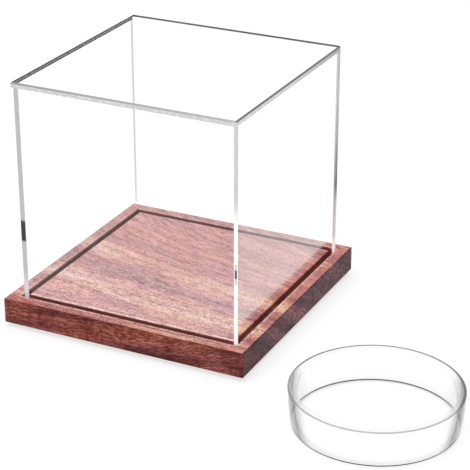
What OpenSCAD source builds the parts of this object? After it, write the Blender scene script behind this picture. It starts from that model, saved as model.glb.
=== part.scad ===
// Baseball display case: a clear square cover that drops into a groove in a solid wood board,
// with a loose clear ring that the ball sits on. Millimetres, +Z up.
// The origin is on the surface that the case stands on, under the middle of the board.
// +X runs along the grain of the board, and -Y is the side with the long grain edge in front.

/* [Cover] */
// Outer width and depth of the clear cover
cover_side = 90; // [80:1:120]
// Full height of the cover, with the part that stands in the groove
cover_h = 90; // [60:1:120]
// Thickness of the clear sheets
sheet_t = 2; // [1.5:0.5:4]
// Bevel on the upright outer corners and the top rim of the cover
corner_ease = 0.5; // [0.2:0.1:0.8]
// Bevel on the foot of each sheet, which leads it into the groove
sheet_ease = 0.3; // [0.1:0.1:0.6]

/* [Board] */
// Thickness of the wood board
board_t = 10; // [8:0.5:20]
// Width of the ledge of wood that shows outside the cover
ledge_w = 5; // [4:0.5:15]
// Bevel on the edges of the board
board_ease = 0.4; // [0.2:0.1:1]
// Depth of the groove that the cover stands in
groove_depth = 5; // [2:0.5:6]
// Free gap on each side of a sheet in the groove
groove_play = 0.3; // [0.2:0.05:0.6]

/* [Pads] */
// Diameter of the pads under the board
pad_d = 10; // [6:0.5:16]
// Thickness of the pads
pad_t = 1.5; // [0.8:0.1:4]
// Bevel round the face of a pad
pad_ease = 0.4; // [0.1:0.1:0.6]
// Distance from the sides of the board to the middle of a pad
pad_inset = 10; // [9:0.5:20]

/* [Ball ring] */
// Diameter of the bore that the ball sits in
ring_bore_d = 55; // [45:0.5:60]
// Height of the ring
ring_h = 13.5; // [8:0.5:25]
// Wall of the ring at its foot
ring_foot_wall = 1.5; // [1:0.25:3]
// Wall of the ring at its rim
ring_rim_wall = 2.75; // [1.5:0.25:4]
// How far the outer wall swells past a straight taper at mid height
ring_swell = 0.3; // [0.1:0.05:0.6]
// Bevel on the outer edges of the ring
ring_ease = 0.2; // [0.1:0.05:0.4]
// Bevel inside the rim, where the ball touches
seat_ease = 0.4; // [0.2:0.1:0.8]
// Free gap between the board's right side and the ring that stands beside it
ring_gap = 22; // [5:1:60]
// How far the middle of the ring stands in front of the board's front side
ring_ahead = 4; // [0:1:40]

/* [Hidden] */
$fn = 96;
wood_colour = [0.42, 0.22, 0.16];
clear_colour = [0.84, 0.89, 0.92, 0.35];
pad_colour = [0.16, 0.16, 0.17];

// Cuts run this far past the face that they open
over = 1;
// Bands that the swelled outer wall of the ring is turned in
ring_bands = 10;

// The board and the heights of what stands on it
board_side = cover_side + 2 * ledge_w;
board_top = pad_t + board_t;
cover_foot = board_top - groove_depth;
walls_h = cover_h - sheet_t;

// The groove runs round under the sheets with the same play on both sides of them.
// Its outer corners are as round as still lets the bevelled corners of the cover drop in.
groove_w = sheet_t + 2 * groove_play;
groove_outer = cover_side + 2 * groove_play;
groove_inner = groove_outer - 2 * groove_w;
groove_corner_r = min(groove_w / 2, corner_ease + 2 * groove_play);

// The ring stands on the same surface as the pads
bore_r = ring_bore_d / 2;
ring_foot_r = bore_r + ring_foot_wall;
ring_rim_r = bore_r + ring_rim_wall;
ring_place = [board_side / 2 + ring_gap + ring_rim_r, -board_side / 2 - ring_ahead, 0];

// Corners of a w by d rectangle round the origin, each cut off by its own length.
// The corners go round from low x, low y: low high, high high and high low follow.
function cut_rectangle(w, d, cuts) =
    let (
        corners = [[-w, -d] / 2, [w, -d] / 2, [w, d] / 2, [-w, d] / 2],
        ways = [[1, 0], [0, 1], [-1, 0], [0, -1]]
    )
    [for (i = [0:3]) each cuts[i] > 0
        ? [corners[i] - ways[(i + 3) % 4] * cuts[i], corners[i] + ways[i] * cuts[i]]
        : [corners[i]]];

// A block that stands on z = 0 with bevelled edges. plan cuts its upright edges,
// front the edges seen from the front, and side those seen from the right.
module eased_block(w, d, h, plan = [0, 0, 0, 0], front = [0, 0, 0, 0], side = [0, 0, 0, 0]) {
    intersection() {
        linear_extrude(h) polygon(cut_rectangle(w, d, plan));
        rotate([90, 0, 0]) linear_extrude(d + 2 * over, center = true)
            translate([0, h / 2]) polygon(cut_rectangle(w, h, front));
        rotate([90, 0, 90]) linear_extrude(w + 2 * over, center = true)
            translate([0, h / 2]) polygon(cut_rectangle(d, h, side));
    }
}

// Square with round corners, for the outer side of the groove
module round_square(side, r) {
    inner = side - 2 * r;
    square([side, inner], center = true);
    square([inner, side], center = true);
    for (x = [-1, 1], y = [-1, 1]) translate([x, y] * inner / 2) circle(r);
}

module groove() {
    translate([0, 0, cover_foot]) linear_extrude(groove_depth + over) difference() {
        round_square(groove_outer, groove_corner_r);
        square(groove_inner, center = true);
    }
}

module base_board() {
    e = board_ease;
    all = [e, e, e, e];
    color(wood_colour) difference() {
        translate([0, 0, pad_t]) eased_block(board_side, board_side, board_t, all, all, all);
        groove();
    }
}

// Front and back sheets run the full width of the cover and hold the bevelled outer corners
module end_sheet() {
    c = corner_ease;
    e = sheet_ease;
    translate([0, sheet_t / 2 - cover_side / 2, cover_foot])
        eased_block(cover_side, sheet_t, walls_h, plan = [c, c, 0, 0], side = [e, e, 0, 0]);
}

module cover_front_sheet() {
    color(clear_colour) end_sheet();
}

module cover_back_sheet() {
    color(clear_colour) rotate(180) end_sheet();
}

// Left and right sheets stand between the front and back sheets
module side_sheet() {
    e = sheet_ease;
    translate([sheet_t / 2 - cover_side / 2, 0, cover_foot])
        eased_block(sheet_t, cover_side - 2 * sheet_t, walls_h, front = [e, e, 0, 0]);
}

module cover_left_sheet() {
    color(clear_colour) side_sheet();
}

module cover_right_sheet() {
    color(clear_colour) rotate(180) side_sheet();
}

// The top sheet lies on all four walls, with its edge flush with their outer faces
module cover_top_sheet() {
    c = corner_ease;
    rim = [0, 0, c, c];
    color(clear_colour) translate([0, 0, cover_foot + walls_h])
        eased_block(cover_side, cover_side, sheet_t, plan = [c, c, c, c], front = rim, side = rim);
}

// Radius of the ring's outer wall at a share t of its height
function ring_outer_r(t) =
    ring_foot_r + (ring_rim_r - ring_foot_r) * t + 4 * ring_swell * t * (1 - t);

// Half section of the ring: bore, foot, swelled outer wall, rim and ball seat
function ring_section() =
    let (low = ring_ease / ring_h, high = 1 - low)
    concat(
        [[bore_r, 0], [ring_outer_r(low) - ring_ease, 0]],
        [for (i = [0:ring_bands]) let (t = low + (high - low) * i / ring_bands)
            [ring_outer_r(t), t * ring_h]],
        [[ring_outer_r(high) - ring_ease, ring_h], [bore_r + seat_ease, ring_h], [bore_r, ring_h - seat_ease]]
    );

module ball_ring() {
    color(clear_colour) translate(ring_place) rotate_extrude() polygon(ring_section());
}

// A pad hangs under the board at one corner, given by the signs of its x and y
module pad(x, y) {
    r = pad_d / 2;
    reach = board_side / 2 - pad_inset;
    section = [[0, 0], [r - pad_ease, 0], [r, pad_ease], [r, pad_t], [0, pad_t]];
    color(pad_colour) translate([x * reach, y * reach, 0]) rotate_extrude() polygon(section);
}

base_board();
cover_front_sheet();
cover_back_sheet();
cover_left_sheet();
cover_right_sheet();
cover_top_sheet();
ball_ring();
pad(-1, -1);  // pad_front_left
pad(1, -1);  // pad_front_right
pad(-1, 1);  // pad_back_left
pad(1, 1);  // pad_back_right
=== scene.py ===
"""Finishes, studio and camera for a baseball display case: wood board, clear cover, clear ring and pads."""

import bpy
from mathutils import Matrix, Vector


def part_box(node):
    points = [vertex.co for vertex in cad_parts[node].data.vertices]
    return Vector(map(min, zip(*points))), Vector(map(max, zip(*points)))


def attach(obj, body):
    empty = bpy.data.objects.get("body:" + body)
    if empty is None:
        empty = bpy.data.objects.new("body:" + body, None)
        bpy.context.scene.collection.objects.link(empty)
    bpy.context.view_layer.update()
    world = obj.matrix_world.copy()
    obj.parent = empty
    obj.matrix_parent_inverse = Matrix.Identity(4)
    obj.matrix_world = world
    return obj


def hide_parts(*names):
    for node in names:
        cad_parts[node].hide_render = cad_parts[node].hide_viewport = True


bl_info = {
    "name": "Ball Display Case Finishes",
    "version": (1, 0, 0),
    "blender": (4, 5, 0),
    "location": "3D View > Sidebar > Display Case",
    "description": "Wood, clear and rubber finishes for a ball display case, with its studio",
    "category": "Material",
}

from math import cos, pi, radians, sin

import bmesh
import bpy
from bpy.props import FloatProperty, FloatVectorProperty, IntProperty, PointerProperty
from mathutils import Matrix, Vector

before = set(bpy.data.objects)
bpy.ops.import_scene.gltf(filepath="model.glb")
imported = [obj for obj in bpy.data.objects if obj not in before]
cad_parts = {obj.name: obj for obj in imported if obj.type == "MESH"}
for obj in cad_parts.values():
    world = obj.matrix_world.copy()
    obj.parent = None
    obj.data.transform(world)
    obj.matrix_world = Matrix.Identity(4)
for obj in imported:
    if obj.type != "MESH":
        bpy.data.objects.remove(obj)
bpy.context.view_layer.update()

MILLIMETRE = 0.001

BOARD_LOW, BOARD_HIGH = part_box("base_board")
COVER_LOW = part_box("cover_front_sheet")[0]
COVER_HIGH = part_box("cover_top_sheet")[1]
SHEET_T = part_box("cover_front_sheet")[1].y - COVER_LOW.y
RING_LOW, RING_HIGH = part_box("ball_ring")
PADS = [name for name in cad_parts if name.startswith("pad_")]


def in_millimetres(length):
    """A length of the frame in millimetres, rounded to drop the noise in its last digits."""
    return round(length / MILLIMETRE, 3)


# The finishes work in millimetres. A reach is the distance of a side from the middle of the case.
BOARD_REACH = in_millimetres(BOARD_HIGH.x)
BOARD_TOP = in_millimetres(BOARD_HIGH.z)
COVER_REACH = in_millimetres(COVER_HIGH.x)
COVER_FOOT = in_millimetres(COVER_LOW.z)
COVER_TOP = in_millimetres(COVER_HIGH.z)
WALLS_TOP = in_millimetres(COVER_HIGH.z - SHEET_T)
# The groove leaves this much play on both sides of each sheet
GROOVE_PLAY = 0.3
GROOVE_OUTER = COVER_REACH + GROOVE_PLAY
GROOVE_INNER = COVER_REACH - in_millimetres(SHEET_T) - GROOVE_PLAY

# Heights from which the walls of the cover mirror. Below them the wood shows through at its full depth.
SIDE_SHINE_FROM = BOARD_TOP + 7
END_SHINE_FROM = BOARD_TOP + 2

# Tints that the colour of the wood is multiplied by, in patches
SIDE_WARM = (1.0, 0.94, 0.80)
SIDE_COOL = (0.90, 0.84, 1.0)
END_SLATE = (0.80, 0.98, 1.0)
END_RED = (1.0, 0.84, 0.82)

# The name of each lamp, its place and the side of its square. Its power is the look of the same name.
LAMPS = (
    ("top_lamp", (-0.05, -0.1, 0.9), 0.9),
    ("front_lamp", (-0.6, -0.9, 0.5), 0.6),
)
LAMP_AIM = Vector((0.03, -0.01, 0.04))
FLOOR_REACH = 4.0
FLOOR_DROP = 0.05 * MILLIMETRE
SENSOR_WIDTH = 36.0


class Value:
    """A number in a shader tree. Python's operators on it add Math nodes."""

    def __init__(self, finish, socket):
        self.finish = finish
        self.socket = socket

    def output(self, name):
        """Another output of the node that made this value."""
        return Value(self.finish, self.socket.node.outputs[name])

    def __add__(self, other):
        return self.finish.math("ADD", self, other)

    def __sub__(self, other):
        return self.finish.math("SUBTRACT", self, other)

    def __rsub__(self, other):
        return self.finish.math("SUBTRACT", other, self)

    def __mul__(self, other):
        return self.finish.math("MULTIPLY", self, other)

    def __pow__(self, other):
        return self.finish.math("POWER", self, other)

    def __rpow__(self, other):
        return self.finish.math("POWER", other, self)

    __radd__ = __add__
    __rmul__ = __mul__


class Finish:
    """The shader tree of a material or a world, built node by node."""

    def __init__(self, owner):
        self.owner = owner
        owner.use_nodes = True
        self.nodes = owner.node_tree.nodes
        self.links = owner.node_tree.links
        self.nodes.clear()

    def node(self, kind, settings=None, values=None, result=0):
        """Adds a node, sets it up, then fills the sockets named in values with numbers or links.
        result is the output to return, by number or identifier, or None where the node has none."""
        made = self.nodes.new("ShaderNode" + kind)
        for name, setting in (settings or {}).items():
            if name == "stops":
                self.set_stops(made.color_ramp, setting)
            else:
                setattr(made, name, setting)
        for key, value in (values or {}).items():
            socket = self.find_socket(made, key)
            if isinstance(value, Value):
                self.links.new(value.socket, socket)
            else:
                socket.default_value = value
        if result is None:
            return None
        outputs = {socket.identifier: socket for socket in made.outputs}
        return Value(self, made.outputs[result] if isinstance(result, int) else outputs[result])

    def find_socket(self, made, key):
        if isinstance(key, int):
            return made.inputs[key]
        return {socket.identifier: socket for socket in made.inputs}[key]

    def set_stops(self, ramp, stops):
        ramp.elements[0].position, ramp.elements[1].position = 0.0, 1.0
        while len(ramp.elements) < len(stops):
            ramp.elements.new(0.5)
        for element, (position, colour) in zip(ramp.elements, stops):
            element.position = position
            element.color = opaque(colour[:3])

    def math(self, operation, *terms):
        return self.node("Math", {"operation": operation}, dict(enumerate(terms)))

    def larger(self, first, second):
        return self.math("MAXIMUM", first, second)

    def unsigned(self, value):
        return self.math("ABSOLUTE", value)

    def step(self, value, low, high, start=0.0, end=1.0):
        """Goes smoothly from start to end while value goes from low to high."""
        ends = {"Value": value, "From Min": low, "From Max": high, "To Min": start, "To Max": end}
        return self.node("MapRange", {"interpolation_type": "SMOOTHSTEP"}, ends)

    def span(self, value, rise, fall):
        """Goes from 0 to 1 over the pair of bounds in rise, and back to 0 over the pair in fall."""
        return self.step(value, rise[0], rise[1]) * self.step(value, fall[1], fall[0])

    def noise(self, place, detail=2.0, roughness=0.5):
        """Noise whose features are about as large as one unit of place."""
        values = {"Vector": place, "Scale": 1.0, "Detail": detail, "Roughness": roughness}
        return self.node("TexNoise", {}, values)

    def ramp(self, value, stops):
        return self.node("ValToRGB", {"stops": stops}, {"Fac": value})

    def mix(self, factor, first, second, blend="MIX"):
        values = {"Factor_Float": factor, "A_Color": first, "B_Color": second}
        return self.node("Mix", {"data_type": "RGBA", "blend_type": blend}, values, "Result_Color")

    def vector(self, x, y, z):
        return self.node("CombineXYZ", {}, {"X": x, "Y": y, "Z": z})

    def parts(self, vector):
        split = self.node("SeparateXYZ", {}, {"Vector": vector})
        return split, split.output("Y"), split.output("Z")

    def place(self):
        """Where the surface is on the object, in millimetres."""
        metres = self.node("TexCoord", {}, {}, "Object")
        millimetres = self.node("VectorMath", {"operation": "SCALE"}, {0: metres, "Scale": 1 / MILLIMETRE})
        return self.parts(millimetres)

    def lie(self):
        """How squarely the surface faces along X, Y and Z, without the sign."""
        normal = self.node("TexCoord", {}, {}, "Normal")
        return self.parts(self.node("VectorMath", {"operation": "ABSOLUTE"}, {0: normal}))

    def glance(self):
        """0 where the surface is seen square on, and 1 where it is seen along."""
        return self.node("LayerWeight", {}, {"Blend": 0.5}, "Facing")

    def bump(self, height, strength, distance):
        return self.node("Bump", {}, {"Strength": strength, "Distance": distance, "Height": height})

    def principled(self, **values):
        sockets = {key.replace("_", " "): value for key, value in values.items()}
        return self.node("BsdfPrincipled", {}, sockets)

    def mix_shader(self, factor, first, second):
        return self.node("MixShader", {}, {0: factor, 1: first, 2: second})

    def end(self, surface, kind="OutputMaterial"):
        """Sends a shader to the tree's output, and returns the material or world."""
        self.node(kind, {}, {"Surface": surface}, None)
        return self.owner


def new_finish(name):
    return Finish(bpy.data.materials.new(name))


def grey(level):
    return (level, level, level, 1.0)


def opaque(colour):
    return (*colour, 1.0)


class DisplayCaseBoard(bpy.types.PropertyGroup):
    """Looks of the wood board."""

    dark_figure: FloatVectorProperty(
        name="Dark figure", description="Colour of the dark bands in the top of the board",
        default=(0.26, 0.085, 0.115), subtype="COLOR", min=0, max=1)
    mid_figure: FloatVectorProperty(
        name="Middle figure", description="Colour between the dark and the light bands",
        default=(0.60, 0.230, 0.206), subtype="COLOR", min=0, max=1)
    light_figure: FloatVectorProperty(
        name="Light figure", description="Colour of the light bands in the top of the board",
        default=(0.82, 0.545, 0.395), subtype="COLOR", min=0, max=1)
    warm: FloatVectorProperty(
        name="Warm patches", description="What the colour of the top is multiplied by where it is yellowish",
        default=(1.0, 0.96, 0.71), subtype="COLOR", min=0, max=1)
    cool: FloatVectorProperty(
        name="Cool patches", description="What the colour of the top is multiplied by where it is pinkish",
        default=(0.91, 0.90, 1.0), subtype="COLOR", min=0, max=1)
    # Painted highlights along the edges of the groove
    groove_highlight: FloatVectorProperty(
        name="Groove highlights", description="Colour of the painted highlights along the edges of the groove",
        default=(0.97, 0.70, 0.60), subtype="COLOR", min=0, max=1)
    # A paler colour painted into the top under the cover: a painted haze in place of the cover's reflections
    painted_haze: FloatVectorProperty(
        name="Painted haze", description="Colour that is mixed into the top under the cover as a painted haze",
        default=(0.95, 0.675, 0.705), subtype="COLOR", min=0, max=1)
    # Colours inside the groove, dark as painted shade in the recess
    groove: FloatVectorProperty(
        name="Groove", description="Colour inside the groove",
        default=(0.24, 0.036, 0.022), subtype="COLOR", min=0, max=1)
    right_groove: FloatVectorProperty(
        name="Groove at the right", description="Colour inside the right run of the groove",
        default=(0.32, 0.065, 0.065), subtype="COLOR", min=0, max=1)
    side_dark: FloatVectorProperty(
        name="Dark side", description="Colour of the dark streaks on the long grain sides",
        default=(0.047, 0.003, 0.006), subtype="COLOR", min=0, max=1)
    side_light: FloatVectorProperty(
        name="Light side", description="Colour of the light streaks on the long grain sides",
        default=(0.63, 0.20, 0.155), subtype="COLOR", min=0, max=1)
    end_dark: FloatVectorProperty(
        name="Dark end", description="Colour of the dark patches on the end grain",
        default=(0.036, 0.004, 0.010), subtype="COLOR", min=0, max=1)
    end_light: FloatVectorProperty(
        name="Light end", description="Colour of the light patches on the end grain",
        default=(0.49, 0.218, 0.247), subtype="COLOR", min=0, max=1)
    band: FloatProperty(
        name="Band spacing", description="Distance from one broad band of the figure to the next",
        default=0.024, min=0.005, max=0.06, unit="LENGTH")
    band_start: FloatProperty(
        name="Band start", description="Shifts the broad bands across the board, as an angle of their cycle",
        default=radians(135), subtype="ANGLE")
    lean: FloatProperty(
        name="Grain lean", description="How far the grain runs across the board for each length along it",
        default=0.2, min=-0.5, max=0.5)


class DisplayCaseClear(bpy.types.PropertyGroup):
    """Looks of the clear sheets and of the clear ring."""

    head_on: FloatProperty(
        name="Head-on shine", description="Share of the light that a clear face mirrors when seen square on",
        default=0.045, min=0.0, max=0.3, subtype="FACTOR")
    far_shine: FloatProperty(
        name="Far shine", description="Share of the shine that the left, back and top sheets have",
        default=0.1, min=0.0, max=1.0, subtype="FACTOR")
    polish: FloatProperty(
        name="Roughness", description="Roughness of the broad faces of the sheets",
        default=0.14, min=0.0, max=0.3, subtype="FACTOR")
    ring_polish: FloatProperty(
        name="Ring roughness", description="Roughness of the clear walls of the ring",
        default=0.05, min=0.0, max=0.3, subtype="FACTOR")


class DisplayCaseRing(bpy.types.PropertyGroup):
    """Section of the ring that the ball sits on."""

    bore_radius: FloatProperty(
        name="Bore radius", description="Radius of the bore that the ball sits in",
        default=0.0275, min=0.02, max=0.03, unit="LENGTH")
    foot_wall: FloatProperty(
        name="Foot wall", description="Wall of the ring at its foot",
        default=0.0015, min=0.001, max=0.003, unit="LENGTH")
    swell: FloatProperty(
        name="Swell", description="How far the outer wall swells past a straight taper at mid height",
        default=0.0003, min=0.0, max=0.0006, unit="LENGTH")
    round_over: FloatProperty(
        name="Round-over", description="Radius of the outer edges of the ring",
        default=0.0003, min=0.0001, max=0.0005, unit="LENGTH")
    seat_round: FloatProperty(
        name="Seat round-over", description="Radius inside the rim, where the ball touches",
        default=0.0005, min=0.0002, max=0.001, unit="LENGTH")
    turns: IntProperty(
        name="Facets round", description="Number of facets round the ring",
        default=192, min=32, max=512)


class DisplayCaseStudio(bpy.types.PropertyGroup):
    """Camera, lamps and floor."""

    azimuth: FloatProperty(
        name="Azimuth", description="Angle of the camera round the case, from straight in front",
        default=radians(26.104), subtype="ANGLE")
    elevation: FloatProperty(
        name="Elevation", description="Angle of the camera above the floor",
        default=radians(24.553), subtype="ANGLE")
    distance: FloatProperty(
        name="Distance", description="Distance of the camera from the middle of the board",
        default=0.67474, min=0.3, max=5.0, unit="LENGTH")
    sideways: FloatProperty(
        name="Sideways", description="How far the camera stands to its right, with its aim kept",
        default=0.02009, unit="LENGTH")
    upward: FloatProperty(
        name="Upward", description="How far the camera stands above its line, with its aim kept",
        default=0.02334, unit="LENGTH")
    lens: FloatProperty(
        name="Lens", description="Focal length on a 36 mm sensor",
        default=132.5, min=10.0, max=500.0, unit="CAMERA")
    sky: FloatProperty(
        name="Sky light", description="Strength of the even light from all round",
        default=0.5, min=0.0, max=2.0)
    top_lamp: FloatProperty(
        name="Top lamp", description="Power of the large soft lamp above",
        default=4.2, min=0.0, max=50.0, subtype="POWER", unit="POWER")
    front_lamp: FloatProperty(
        name="Front lamp", description="Power of the soft lamp in front on the left",
        default=1.5, min=0.0, max=50.0, subtype="POWER", unit="POWER")
    floor_tone: FloatProperty(
        name="Floor tone", description="Grey level of the matt floor",
        default=0.38, min=0.0, max=1.0, subtype="FACTOR")
    floor_white: FloatProperty(
        name="Floor white", description="Strength of the even white that the floor shows in the picture",
        default=0.70, min=0.0, max=1.0)


class BoardZones:
    """The place on the board, and its zones: each is 1 on its part of the surface and 0 elsewhere."""

    def __init__(self, finish):
        self.x, self.y, self.z = finish.place()
        self.face_x, self.face_y, self.face_z = finish.lie()
        self.reach = finish.larger(finish.unsigned(self.x), finish.unsigned(self.y))
        self.outside = finish.step(self.reach, BOARD_REACH - 3, BOARD_REACH - 2)
        # The long grain sides are in front and at the back, and the end grain at the left and right
        self.side = finish.step(self.face_y, 0.6, 0.7) * self.outside
        self.end = finish.step(self.face_x - self.face_y, 0.3, 0.5) * self.outside
        self.flank = finish.larger(self.side, self.end)
        self.top = 1 - self.flank
        # Under the cover the wood is painted paler, a painted haze in place of what the cover's walls mirror,
        # less so towards its right wall
        self.painted_haze = finish.step(self.x, COVER_REACH - 2, COVER_REACH - 9)
        self.painted_haze = self.painted_haze * finish.step(self.y, 1 - COVER_REACH, 2 - COVER_REACH)
        self.unhazed = (1 - self.painted_haze) * self.top
        self.front_ledge = finish.step(self.y, 1 - COVER_REACH, -COVER_REACH) * self.top
        # The eased edges, which are painted darker as painted shade
        self.eased = finish.span(self.face_z, (0.4, 0.6), (0.75, 0.85)) * self.outside
        self.groove = self.groove_walls(finish)

    def groove_walls(self, finish):
        """The inside of the groove, painted dark as painted shade in the recess, but for what catches the
        light at the left and right.
        """
        # The lips of its walls are light
        left_lip = finish.step(self.x, 0.5 - COVER_REACH, -COVER_REACH) * 0.4
        right_lip = finish.step(self.x, COVER_REACH - 3, COVER_REACH - 2.5) * 0.35
        deep = finish.step(self.z + (left_lip + right_lip), BOARD_TOP - 0.1, BOARD_TOP - 0.4)
        inside = finish.step(self.z, COVER_FOOT - 0.6, COVER_FOOT - 0.2)
        walls = deep * inside * finish.step(self.reach, COVER_REACH + 1, COVER_REACH + 0.5)
        # Low down, the walls at the right are paler, which narrows the dark line of the groove there
        facing = finish.step(self.face_x, 0.5, 0.7) * finish.step(self.x, COVER_REACH - 3, COVER_REACH - 2.6)
        pale = facing * finish.step(self.z, BOARD_TOP - 2.15, BOARD_TOP - 2.4)
        return walls * (1 - pale * 0.8)

    def pick(self, top, side, end):
        """One number on the top of the board, one on its long grain sides and one on its end grain."""
        return top + self.side * (side - top) + self.end * (end - top)


class WoodFigure:
    """What runs through the wood: growth layers, with clouds, streaks, fibres, pores and more along them."""

    def __init__(self, finish, zones, look):
        x, y, z = zones.x, zones.y, zones.z
        side, end = zones.side, zones.end
        # Growth layers lean across the board, more so towards the back, and dive through its thickness.
        # On the long grain sides they rise towards the right, and on the ends they fall towards the back.
        drift = finish.noise(finish.vector(x * 0.012, y * 0.04, z * 0.05), 1.0)
        across = y + x * (look.lean + 0.004 * y) + (drift - 0.5) * 11
        layer = across + (z - BOARD_TOP) * (1 + end * 0.7) - side * x * 0.12

        # The cloud is the broadest and softest, then come the streaks, and the fibres are the finest
        self.cloud = finish.noise(finish.vector(x * 0.02, layer * 0.12, z * 0.1), 2.0, 0.6)
        streak_place = finish.vector(x * 0.035, layer * 0.33 * zones.pick(1, 3, 2), z * 0.1)
        self.streaks = finish.noise(streak_place, 3.0, 0.75)
        fibre_x = x * (0.30 + side * 0.1) + layer * 0.1
        fibre_place = finish.vector(fibre_x, layer * zones.pick(1, 2.8, 2), z * 0.3)
        self.fibres = finish.noise(fibre_place, 2 - zones.flank * 1.6, 0.9)
        speck_place = finish.vector(x * 1.2 + y * 0.3, y * (1.5 - end * 0.8) - z * 0.6, z * (2.2 - end * 0.7))
        self.specks = finish.noise(speck_place, 2 - zones.flank * 1.5, 0.8)
        # Blotches show on the end grain, and mottle stands upright on the long grain sides
        self.blotches = finish.noise(finish.vector(y * 0.10, y * 0.04, z * 0.12), 3.0, 0.7)
        self.mottle = finish.noise(finish.vector(x * 0.24, y * 0.16, z * 0.05), 3.0, 0.6)
        # Long dark dashes and short open pores
        self.dashes = finish.step(finish.noise(finish.vector(x * 0.1, layer, 5.0), 1.0), 0.60, 0.72)
        self.pores = finish.step(finish.noise(finish.vector(x * 0.8, across * 3.2, z * 3.2), 1.0), 0.58, 0.74)
        self.hue = finish.noise(finish.vector(x * 0.04, layer * 0.2, 9.0), 2.0)
        self.layer = layer


def wood_tone(finish, zones, figure, look):
    """From dark to light wood, 0 to 1: broad bands, clouds and streaks, with blotches on the end grain."""
    # The bands are strong in the front half of the board and fade towards the back and the front edge
    layer = figure.layer
    swing = finish.math("SINE", layer * (2 * pi * MILLIMETRE / look.band) + look.band_start)
    strength = finish.step(layer, -4, 12, 0.27, 0.06) * finish.step(layer, -36, -30, 0.3, 1.0)
    strength = strength * (1 - zones.end * 0.4 - zones.front_ledge * 0.25)
    bands = 0.5 + swing * strength - finish.step(layer, 0, 16) * 0.07
    clouds = (figure.cloud - 0.5) * zones.pick(0.6, 1.0, 0.4)
    streaks = (figure.streaks - 0.5) * zones.pick(0.6, 0.9, 0.7)
    return bands + clouds + streaks + zones.end * (figure.blotches - 0.5) * 0.5


def wood_lightness(finish, zones, figure):
    """What the fine grain multiplies the colour by. It is livelier towards the front and where no haze is
    painted.
    """
    lively = 1 + finish.step(zones.y, 2, -16) * 0.35 + zones.unhazed * 0.5
    fibres = (figure.fibres - 0.5) * zones.pick(1.2, 7.4, 4.8)
    specks = (figure.specks - 0.5) * zones.pick(1.5, 3.9, 6.0)
    streaks = (figure.streaks - 0.5) * zones.pick(0.9, 2.3, 0.0)
    return finish.step((fibres + specks) * lively + streaks, -0.6, 0.45, 0.4, 1.45)


def top_colour(finish, zones, figure, tone, look):
    """Colour of the top of the board, with a painted haze under the cover and painted highlights along the
    groove.
    """
    colour = finish.ramp(tone, [(0.1, look.dark_figure), (0.5, look.mid_figure), (0.9, look.light_figure)])
    patches = finish.ramp(figure.hue, [(0.40, look.warm), (0.60, look.cool)])
    colour = finish.mix(1 - zones.unhazed * 0.44, colour, patches, "MULTIPLY")
    # The groove's edges are painted pale, as painted highlights, most of all in front
    inner, outer = -GROOVE_INNER, GROOVE_OUTER
    front_highlight = finish.span(zones.y, (inner - 0.3, inner + 0.1), (inner + 0.9, inner + 1.4))
    front_highlight = front_highlight * finish.step(zones.reach, GROOVE_INNER + 0.1, GROOVE_INNER - 0.1)
    outer_highlight = finish.span(zones.reach, (outer - 0.2, outer), (outer + 0.6, outer + 1.1))
    highlights = (front_highlight * 0.75 + outer_highlight * 0.35) * finish.step(zones.face_z, 0.5, 0.7)
    colour = finish.mix(highlights, colour, opaque(look.groove_highlight))
    # The painted haze under the cover
    return finish.mix(zones.painted_haze * finish.step(zones.y, 5, -20, 0.31, 0.37), colour, opaque(look.painted_haze))


def flank_colour(finish, zones, figure, tone, look):
    """Colour of the long grain sides and of the end grain."""
    side = finish.ramp(tone, [(0.2, look.side_dark), (0.8, look.side_light)])
    end = finish.ramp(tone, [(0.2, look.end_dark), (0.8, look.end_light)])
    side_hue = finish.ramp(figure.hue, [(0.40, SIDE_WARM), (0.60, SIDE_COOL)])
    end_hue = finish.ramp(figure.blotches, [(0.42, END_SLATE), (0.58, END_RED)])
    hue = finish.mix(zones.end, side_hue, end_hue)
    return finish.mix(1.0, finish.mix(zones.end, side, end), hue, "MULTIPLY")


def wood_shade(finish, zones, figure):
    """What dashes, pores, mottle, margins and eased edges multiply the colour by. The margins and the eased
    edges carry painted shade and painted light.
    """
    mottle = zones.side * finish.step(figure.mottle, 0.45, 0.62)
    shade = 1 - figure.dashes * 0.3 - figure.pores * 0.2 - mottle * 0.4
    # The end grain darkens towards the front and the foot, and is lighter towards the back
    front = finish.step(zones.y, -14, -44) * 0.55
    back = finish.step(zones.y, -5, 40) * 0.22
    shade = shade - zones.end * (front - back + finish.step(zones.z, 6, 2) * 0.1)
    # The left ledge is painted darker, as painted shade, and the right ledge lighter, as painted light
    left_margin = finish.step(zones.x, 0.5 - COVER_REACH, -COVER_REACH - 1)
    right_margin = finish.step(zones.x, COVER_REACH + 0.5, COVER_REACH + 1.5) * zones.top
    shade = shade - left_margin * 0.11 + right_margin * 0.07
    # Painted shade on the eased edges
    return shade * (1 - zones.eased * 0.4)


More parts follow.
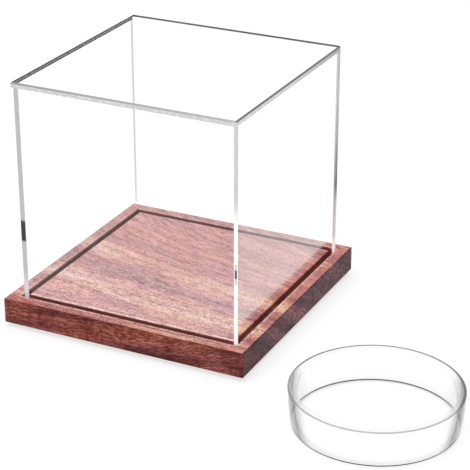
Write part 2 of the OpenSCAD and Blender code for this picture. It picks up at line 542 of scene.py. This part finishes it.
def board_wood(look):
    """Solid wood with its grain along X: soft bands, streaks and pores, and darker on its sides and ends."""
    finish = new_finish("oiled_red_brown_wood")
    zones = BoardZones(finish)
    figure = WoodFigure(finish, zones, look)
    tone = wood_tone(finish, zones, figure, look)
    top = top_colour(finish, zones, figure, tone, look)
    colour = finish.mix(zones.flank, top, flank_colour(finish, zones, figure, tone, look))
    # Red changes less with the shade than green and blue do, least of all on the long grain sides
    shade = wood_shade(finish, zones, figure) * wood_lightness(finish, zones, figure)
    red = shade ** (0.72 - zones.side * 0.2) - zones.front_ledge * 0.05
    colour = finish.mix(1.0, colour, finish.vector(red, shade, shade), "MULTIPLY")
    # The groove is painted dark, as painted shade in the recess
    right = finish.step(zones.x, COVER_REACH - 5, COVER_REACH - 3)
    groove = finish.mix(right, opaque(look.groove), opaque(look.right_groove))
    colour = finish.mix(zones.groove * 0.85, colour, groove)

    roughness = 0.42 + figure.fibres * 0.16 + figure.pores * 0.15 + zones.groove * 0.3
    relief = figure.fibres * 0.5 - figure.pores - figure.dashes * 0.5
    surface = finish.principled(
        Base_Color=colour, Roughness=roughness, Specular_IOR_Level=0.15,
        Normal=finish.bump(relief, 0.3, 0.1 * MILLIMETRE))
    return finish.end(surface)


def clear_share(finish, head_on):
    """Share that a clear face mirrors: little head on, and more at a glancing angle."""
    return head_on + (1 - head_on) * finish.glance() ** 3.3


def clear_pane(finish, share, polish, clearness):
    """Clear face that mirrors the given share of the light and lets the rest through."""
    clear = finish.node("BsdfTransparent", {}, {"Color": grey(clearness)})
    mirror = finish.node("BsdfGlossy", {}, {"Color": grey(1.0), "Roughness": polish})
    return finish.mix_shader(share, clear, mirror)


def right_post_tint(finish, z):
    """Tint of the cover's right upright edge, with a painted reflection of something dark at mid height."""
    return finish.ramp(z * 0.01, [
        (0.13, (0.88, 0.86, 0.88)),
        (0.20, (0.66, 0.65, 0.66)),
        (0.325, (0.46, 0.45, 0.46)),
        (0.40, (0.04, 0.04, 0.05)),
        (0.45, (0.12, 0.12, 0.14)),
        (0.61, (0.34, 0.33, 0.35)),
        (0.74, (0.46, 0.45, 0.46)),
    ])


def end_sheet_edges(finish, place):
    """How much the upright ends of the front and back sheets hide, and their tint, which is a painted
    reflection.
    """
    x, y, z = place
    back = finish.step(y, -1, 1)
    right = finish.step(x, -1, 1)
    front_tint = finish.mix(finish.step(z, 54, 72), grey(1.0), grey(0.62))
    back_tint = finish.mix(right, grey(0.62), right_post_tint(finish, z))
    # The left end of the back sheet fades out at its foot, and that of the front sheet is clear
    hides = finish.larger(right, finish.step(z, 14.8, 15.6) * finish.step(z, 15, 24, 0.5, 1.0))
    hides = hides * finish.larger(back, right * finish.step(y, 1.4 - COVER_REACH, 1.1 - COVER_REACH))
    return hides, finish.mix(back, front_tint, back_tint)


def side_sheet_edges(finish, place):
    """How much the ends of the side sheets hide where they meet the front and back sheets, and their tint,
    which is a painted reflection.
    """
    x, y, z = place
    right = finish.step(x, -1, 1)
    front = finish.step(y, 1, -1)
    front_hides = front * finish.step(x, COVER_REACH - 0.3, COVER_REACH - 0.5)
    back_hides = (1 - front) * finish.step(x, COVER_REACH - 0.85, COVER_REACH - 0.6)
    left_tint = finish.mix(finish.step(z, 12, 24), (0.72, 0.68, 0.73, 1.0), (0.50, 0.48, 0.53, 1.0))
    right_tint = finish.mix(finish.step(z, 56, 68), grey(1.0), grey(0.62))
    tint = finish.mix(front, right_post_tint(finish, z), finish.mix(right, left_tint, right_tint))
    # Each of the two front edges has a painted reflection of a short dark patch. The right one is narrower
    # and has faint ends.
    left_patch = finish.span(z, (33, 34), (41, 42.5))
    core = finish.span(z, (36.1, 36.9), (39.6, 40.4)) * 0.92
    tails = finish.span(z, (33.8, 34.6), (41.8, 42.6)) * 0.33
    strip = finish.span(x, (COVER_REACH - 1.85, COVER_REACH - 1.55), (COVER_REACH - 0.85, COVER_REACH - 0.55))
    patch = front * finish.step(x, -1, 1, left_patch, finish.larger(core, tails) * strip)
    patch_tint = finish.mix(right, (0.02, 0.008, 0.012, 1.0), (0.05, 0.012, 0.02, 1.0))
    return front_hides + back_hides, finish.mix(patch, tint, patch_tint)


def top_sheet_rim(finish, place):
    """How much the rim of the top sheet hides, and its tint, a painted reflection: a dark bevel, and dark on
    the left and back.
    """
    x, y, z = place
    height = z - WALLS_TOP
    rim = (COVER_REACH - 0.6, COVER_REACH - 0.4)
    left = finish.step(x, -rim[0], -rim[1])
    right = finish.step(x, *rim)
    back = finish.step(y, *rim)
    far = finish.larger(left, back)
    bevel = finish.step(height + far * 0.4, 1.4, 1.5)
    foot = finish.step(height, 0.6, 0.5)
    fleck = finish.noise(finish.vector(x * 0.6, y * 0.6, z * 1.2), 2.0)
    band = finish.mix(finish.step(fleck, 0.5, 0.65), grey(0.62), grey(0.78))
    band = finish.mix(right * finish.step(y, -10, 44) * 0.75, band, (0.36, 0.315, 0.325, 1.0))
    band = finish.mix(left, band, grey(0.24))
    line = finish.mix(right, grey(0.25), grey(0.17))
    line = finish.mix(far, line, grey(0.04))
    line = finish.mix(back * (1 - left), line, grey(0.12))
    hides = finish.larger(1 - back, bevel)
    return hides, finish.mix(finish.larger(bevel, foot * left), band, line)


def clear_sheet(name, thin_axis, look, edges, shine, shine_from=0.0):
    """Clear sheet with polished edges. Its broad faces only mirror, outside and above shine_from.
    shine is how much of the mirroring the sheets at the low and at the high end of thin_axis keep."""
    finish = new_finish(name)
    place = finish.place()
    facing = finish.lie()
    height = place[2]
    lies_flat = thin_axis == 2
    broad = finish.step(facing[thin_axis], 0.85, 0.95)
    edge = 1 - broad if lies_flat else finish.step(facing[1 - thin_axis], 0.85, 0.95)
    hides, tint = edges(finish, place)
    edge = edge * hides
    if not lies_flat:
        # The foot shows as a grey line once the cover is lifted out of its groove
        foot = finish.step(facing[2], 0.6, 0.7) * finish.step(height, COVER_FOOT + 2.5, COVER_FOOT + 1.5)
        edge = finish.larger(edge, foot * 0.6)
        tint = finish.mix(foot, tint, grey(0.30))
    # The edges are metallic, to mirror the room, with tints that hold painted reflections, and near the wood
    # they glow pale, as painted light
    painted_glow = finish.span(height, (COVER_FOOT + 2.5, COVER_FOOT + 3.5), (BOARD_TOP + 4.5, BOARD_TOP + 7.5))
    rim = finish.principled(
        Base_Color=tint, Roughness=0.3, Metallic=1 - painted_glow,
        Emission_Color=finish.mix(painted_glow * 0.42, grey(0.0), tint), Emission_Strength=1.0)

    thin = place[thin_axis]
    outer_face = COVER_TOP if lies_flat else COVER_REACH
    outside = finish.step(finish.unsigned(thin), outer_face - 1.6, outer_face - 0.4)
    mirrors = outside * finish.step(thin, -1, 1, *shine)
    mirrors = mirrors * finish.step(height, shine_from - 0.8, shine_from + 0.8)
    pane = clear_pane(finish, clear_share(finish, look.head_on) * mirrors, look.polish, 1.0)
    return finish.end(finish.mix_shader(edge, pane, rim))


def clear_moulding(look, ring):
    """Clear moulded ring: clear walls, painted grey streaks where they turn away, and painted dark lines
    along its edges, in place of what the clear walls bend and mirror.
    """
    finish = new_finish("clear_moulded_ring")
    x, y, z = finish.place()
    centre = (RING_LOW + RING_HIGH) / 2 / MILLIMETRE
    height = (RING_HIGH.z - RING_LOW.z) / MILLIMETRE
    bore_reach = ring.bore_radius / MILLIMETRE
    foot_reach = bore_reach + ring.foot_wall / MILLIMETRE
    rim_reach = (RING_HIGH.x - RING_LOW.x) / 2 / MILLIMETRE
    reach = ((x - centre.x) ** 2 + (y - centre.y) ** 2) ** 0.5

    # The streaks are painted grey, stronger on the outer wall than on the bore
    streaks = finish.ramp(finish.glance(), [
        (0.52, grey(0.0)),
        (0.58, grey(0.16)),
        (0.61, grey(0.38)),
        (0.64, grey(0.34)),
        (0.67, grey(0.66)),
        (0.76, grey(0.62)),
        (0.83, grey(0.42)),
        (0.92, grey(0.30)),
        (0.98, grey(0.10)),
    ])
    upright = finish.step(finish.lie()[2], 0.97, 0.85)
    outer = finish.step(reach, bore_reach + 0.7, bore_reach + 1.1)
    streaks = streaks * upright * (0.2 + outer * 0.8)
    # Painted dark lines run along the outer edge of rim and foot. In front the rim's is weaker and the foot's
    # higher.
    front = finish.step(y, centre.y + 6, centre.y - 6)
    rim_low, rim_high = rim_reach - 1.15, rim_reach - 0.85
    rim_shade = finish.step(reach, rim_low + front * 0.5, rim_high + front * 0.4, 0.05, 0.85 - front * 0.33)
    rim = finish.step(z, height - 0.36, height - 0.26) * rim_shade
    foot_high = 0.25 + front * 0.3
    foot = finish.step(z, foot_high + 0.06, foot_high - 0.06)
    foot = foot * finish.step(reach, foot_reach - 0.55, foot_reach - 0.35, 0.06, 1.0)

    lines = finish.larger(finish.larger(rim, foot), streaks)
    wall = finish.principled(Base_Color=grey(0.06), Roughness=0.15)
    pane = clear_pane(finish, clear_share(finish, look.head_on), look.ring_polish, 0.985)
    return finish.end(finish.mix_shader(lines, pane, wall))


def pad_rubber():
    """Matt dark rubber with a fine grain."""
    finish = new_finish("matt_dark_rubber")
    x, y, z = finish.place()
    grain = finish.noise(finish.vector(x * 4, y * 4, z * 4), 3.0, 0.6)
    patch = finish.noise(finish.vector(x * 0.4, y * 0.4, z * 0.4), 2.0)
    colour = finish.mix(patch * 0.6 + grain * 0.4, grey(0.018), grey(0.045))
    surface = finish.principled(
        Base_Color=colour, Roughness=0.75 + grain * 0.2, Specular_IOR_Level=0.35,
        Normal=finish.bump(grain, 0.4, 0.08 * MILLIMETRE))
    return finish.end(surface)


def white_for_camera(finish):
    """1 for a ray from the camera, also by a mirror or clear face, and 0 for light on matt surfaces."""
    path = finish.node("LightPath", {}, {}, "Is Camera Ray")
    seen = finish.larger(path, path.output("Is Glossy Ray"))
    return finish.larger(seen, path.output("Is Transmission Ray"))


def floor_finish(look):
    """Plain pale floor that shows white to the camera and keeps the shadows."""
    finish = new_finish("plain_pale_floor")
    matt = finish.node("BsdfDiffuse", {}, {"Color": grey(look.floor_tone)})
    white = finish.node("Emission", {}, {"Color": grey(1.0), "Strength": look.floor_white})
    shown = finish.node("AddShader", {}, {0: matt, 1: white})
    return finish.end(finish.mix_shader(white_for_camera(finish), matt, shown))


def give_finish(node_name, material):
    """Puts a finish on every material slot of a CAD node."""
    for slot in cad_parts[node_name].material_slots:
        slot.material = material


def new_object(name, data):
    made = bpy.data.objects.new(name, data)
    bpy.context.collection.objects.link(made)
    return made


def arc(centre, radius, start, end, steps):
    """Points round a centre in the plane of radius and height, both ends included."""
    turns = [start + (end - start) * i / steps for i in range(steps + 1)]
    return [(centre[0] + radius * cos(turn), centre[1] + radius * sin(turn)) for turn in turns]


def ring_section(look):
    """Closed half section of the ring, with round edges: foot, swelled outer wall, rim and bore."""
    height = RING_HIGH.z - RING_LOW.z
    rim_radius = (RING_HIGH.x - RING_LOW.x) / 2
    foot_radius = look.bore_radius + look.foot_wall
    edge = look.round_over
    seat = look.seat_round
    bore = look.bore_radius

    def outer(t):
        return foot_radius + (rim_radius - foot_radius) * t + 4 * look.swell * t * (1 - t)

    low, high = edge / height, 1 - edge / height
    wall_steps = 16
    heights = [low + (high - low) * i / wall_steps for i in range(wall_steps + 1)]
    foot = arc((outer(low) - edge, edge), edge, -pi / 2, 0, 4)
    wall = [(outer(t), t * height) for t in heights[1:-1]]
    rim = arc((outer(high) - edge, height - edge), edge, 0, pi / 2, 4)
    mouth = arc((bore + seat, height - seat), seat, pi / 2, pi, 5)
    heel = arc((bore + edge / 2, edge / 2), edge / 2, pi, 3 * pi / 2, 3)
    return foot + wall + rim + mouth + heel


def turned(name, section, centre, turns):
    """A closed section turned round an upright axis, as a smooth mesh object."""
    shape = bmesh.new()
    loops = []
    for i in range(turns):
        turn = 2 * pi * i / turns
        loops.append([
            shape.verts.new((centre.x + r * cos(turn), centre.y + r * sin(turn), centre.z + h))
            for r, h in section
        ])
    for i, here in enumerate(loops):
        there = loops[(i + 1) % turns]
        for j in range(len(section)):
            k = (j + 1) % len(section)
            shape.faces.new((here[j], there[j], there[k], here[k]))
    bmesh.ops.recalc_face_normals(shape, faces=shape.faces)
    mesh = bpy.data.meshes.new(name)
    shape.to_mesh(mesh)
    shape.free()
    mesh.shade_smooth()
    mesh.set_sharp_from_angle(angle=radians(32))
    return new_object(name, mesh)


class DISPLAYCASE_OT_finish_board(bpy.types.Operator):
    """Give the board its oiled wood"""

    bl_idname = "display_case.finish_board"
    bl_label = "Finish Board"

    def execute(self, context):
        give_finish("base_board", board_wood(context.scene.display_case_board))
        return {"FINISHED"}


class DISPLAYCASE_OT_finish_cover(bpy.types.Operator):
    """Give the five sheets of the cover their clear faces and polished edges"""

    bl_idname = "display_case.finish_cover"
    bl_label = "Finish Cover"

    def execute(self, context):
        look = context.scene.display_case_clear
        far = look.far_shine
        side = clear_sheet("clear_side_sheet", 0, look, side_sheet_edges, (far, 1.0), SIDE_SHINE_FROM)
        end = clear_sheet("clear_end_sheet", 1, look, end_sheet_edges, (1.0, far), END_SHINE_FROM)
        top = clear_sheet("clear_top_sheet", 2, look, top_sheet_rim, (far, far))
        for place, material in {"left": side, "right": side, "front": end, "back": end, "top": top}.items():
            sheet = f"cover_{place}_sheet"
            give_finish(sheet, material)
            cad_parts[sheet].visible_shadow = False
        return {"FINISHED"}


class DISPLAYCASE_OT_turn_ring(bpy.types.Operator):
    """Turn the clear ring with its round edges"""

    bl_idname = "display_case.turn_ring"
    bl_label = "Turn Ball Ring"

    def execute(self, context):
        look = context.scene.display_case_ring
        centre = (RING_LOW + RING_HIGH) / 2
        centre.z = RING_LOW.z
        ring = turned("turned_ball_ring", ring_section(look), centre, look.turns)
        ring.data.materials.append(clear_moulding(context.scene.display_case_clear, look))
        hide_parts("ball_ring")
        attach(ring, "ring")
        return {"FINISHED"}


class DISPLAYCASE_OT_finish_pads(bpy.types.Operator):
    """Give the four pads under the board their rubber"""

    bl_idname = "display_case.finish_pads"
    bl_label = "Finish Pads"

    def execute(self, context):
        rubber = pad_rubber()
        for pad in PADS:
            give_finish(pad, rubber)
        return {"FINISHED"}


class DISPLAYCASE_OT_build_studio(bpy.types.Operator):
    """Lay the floor, hang the lamps and set the camera"""

    bl_idname = "display_case.build_studio"
    bl_label = "Build Studio"

    def execute(self, context):
        look = context.scene.display_case_studio
        self.lay_floor(look)
        for name, place, side in LAMPS:
            self.hang_lamp(name, place, side, getattr(look, name))
        self.light_sky(context, look)
        self.set_camera(context, look)
        context.scene.view_settings.view_transform = "Standard"
        return {"FINISHED"}

    def lay_floor(self, look):
        ways = ((-1, -1), (1, -1), (1, 1), (-1, 1))
        corners = [(x * FLOOR_REACH, y * FLOOR_REACH, -FLOOR_DROP) for x, y in ways]
        mesh = bpy.data.meshes.new("studio_floor")
        mesh.from_pydata(corners, [], [(0, 1, 2, 3)])
        mesh.materials.append(floor_finish(look))
        floor = new_object("studio_floor", mesh)

    def hang_lamp(self, name, place, side, power):
        light = bpy.data.lights.new(name, "AREA")
        light.shape = "SQUARE"
        light.size = side
        light.energy = power
        lamp = new_object(name, light)
        lamp.location = place
        lamp.rotation_euler = (LAMP_AIM - lamp.location).to_track_quat("-Z", "Y").to_euler()

    def light_sky(self, context, look):
        context.scene.world = bpy.data.worlds.new("studio_sky")
        sky = Finish(context.scene.world)
        light = sky.node("Background", {}, {"Color": grey(1.0), "Strength": look.sky})
        white = sky.node("Background", {}, {"Color": grey(1.0), "Strength": 1.0})
        sky.end(sky.mix_shader(white_for_camera(sky), light, white), "OutputWorld")

    def set_camera(self, context, look):
        back = Vector((
            sin(look.azimuth) * cos(look.elevation),
            -cos(look.azimuth) * cos(look.elevation),
            sin(look.elevation),
        ))
        right = Vector((cos(look.azimuth), sin(look.azimuth), 0.0))
        up = back.cross(right)
        lens = bpy.data.cameras.new("studio_camera")
        lens.sensor_width = SENSOR_WIDTH
        lens.lens = look.lens
        camera = new_object("studio_camera", lens)
        place = Vector((0, 0, BOARD_LOW.z)) + back * look.distance + right * look.sideways + up * look.upward
        turn = Matrix((right, up, back)).transposed()
        camera.matrix_world = Matrix.Translation(place) @ turn.to_4x4()
        context.scene.camera = camera


class DISPLAYCASE_PT_sidebar(bpy.types.Panel):
    """Lists the steps that dress the case, with their sizes and colours"""

    bl_idname = "DISPLAYCASE_PT_sidebar"
    bl_label = "Display Case"
    bl_space_type = "VIEW_3D"
    bl_region_type = "UI"
    bl_category = "Display Case"

    def draw(self, context):
        for operator in STEPS:
            self.layout.operator(operator.bl_idname)
        for group, kind in GROUPS.items():
            box = self.layout.box()
            for name in kind.__annotations__:
                box.prop(getattr(context.scene, group), name)


GROUPS = {
    "display_case_board": DisplayCaseBoard,
    "display_case_clear": DisplayCaseClear,
    "display_case_ring": DisplayCaseRing,
    "display_case_studio": DisplayCaseStudio,
}
STEPS = (
    DISPLAYCASE_OT_build_studio,
    DISPLAYCASE_OT_finish_board,
    DISPLAYCASE_OT_finish_cover,
    DISPLAYCASE_OT_turn_ring,
    DISPLAYCASE_OT_finish_pads,
)
CLASSES = (*GROUPS.values(), *STEPS, DISPLAYCASE_PT_sidebar)


def register():
    for kind in CLASSES:
        bpy.utils.register_class(kind)
    for name, kind in GROUPS.items():
        setattr(bpy.types.Scene, name, PointerProperty(type=kind))


def unregister():
    for name in GROUPS:
        delattr(bpy.types.Scene, name)
    for kind in reversed(CLASSES):
        bpy.utils.unregister_class(kind)


def main():
    register()
    bpy.ops.display_case.build_studio()
    bpy.ops.display_case.finish_board()
    bpy.ops.display_case.finish_cover()
    bpy.ops.display_case.turn_ring()
    bpy.ops.display_case.finish_pads()


if __name__ == "__main__":
    main()
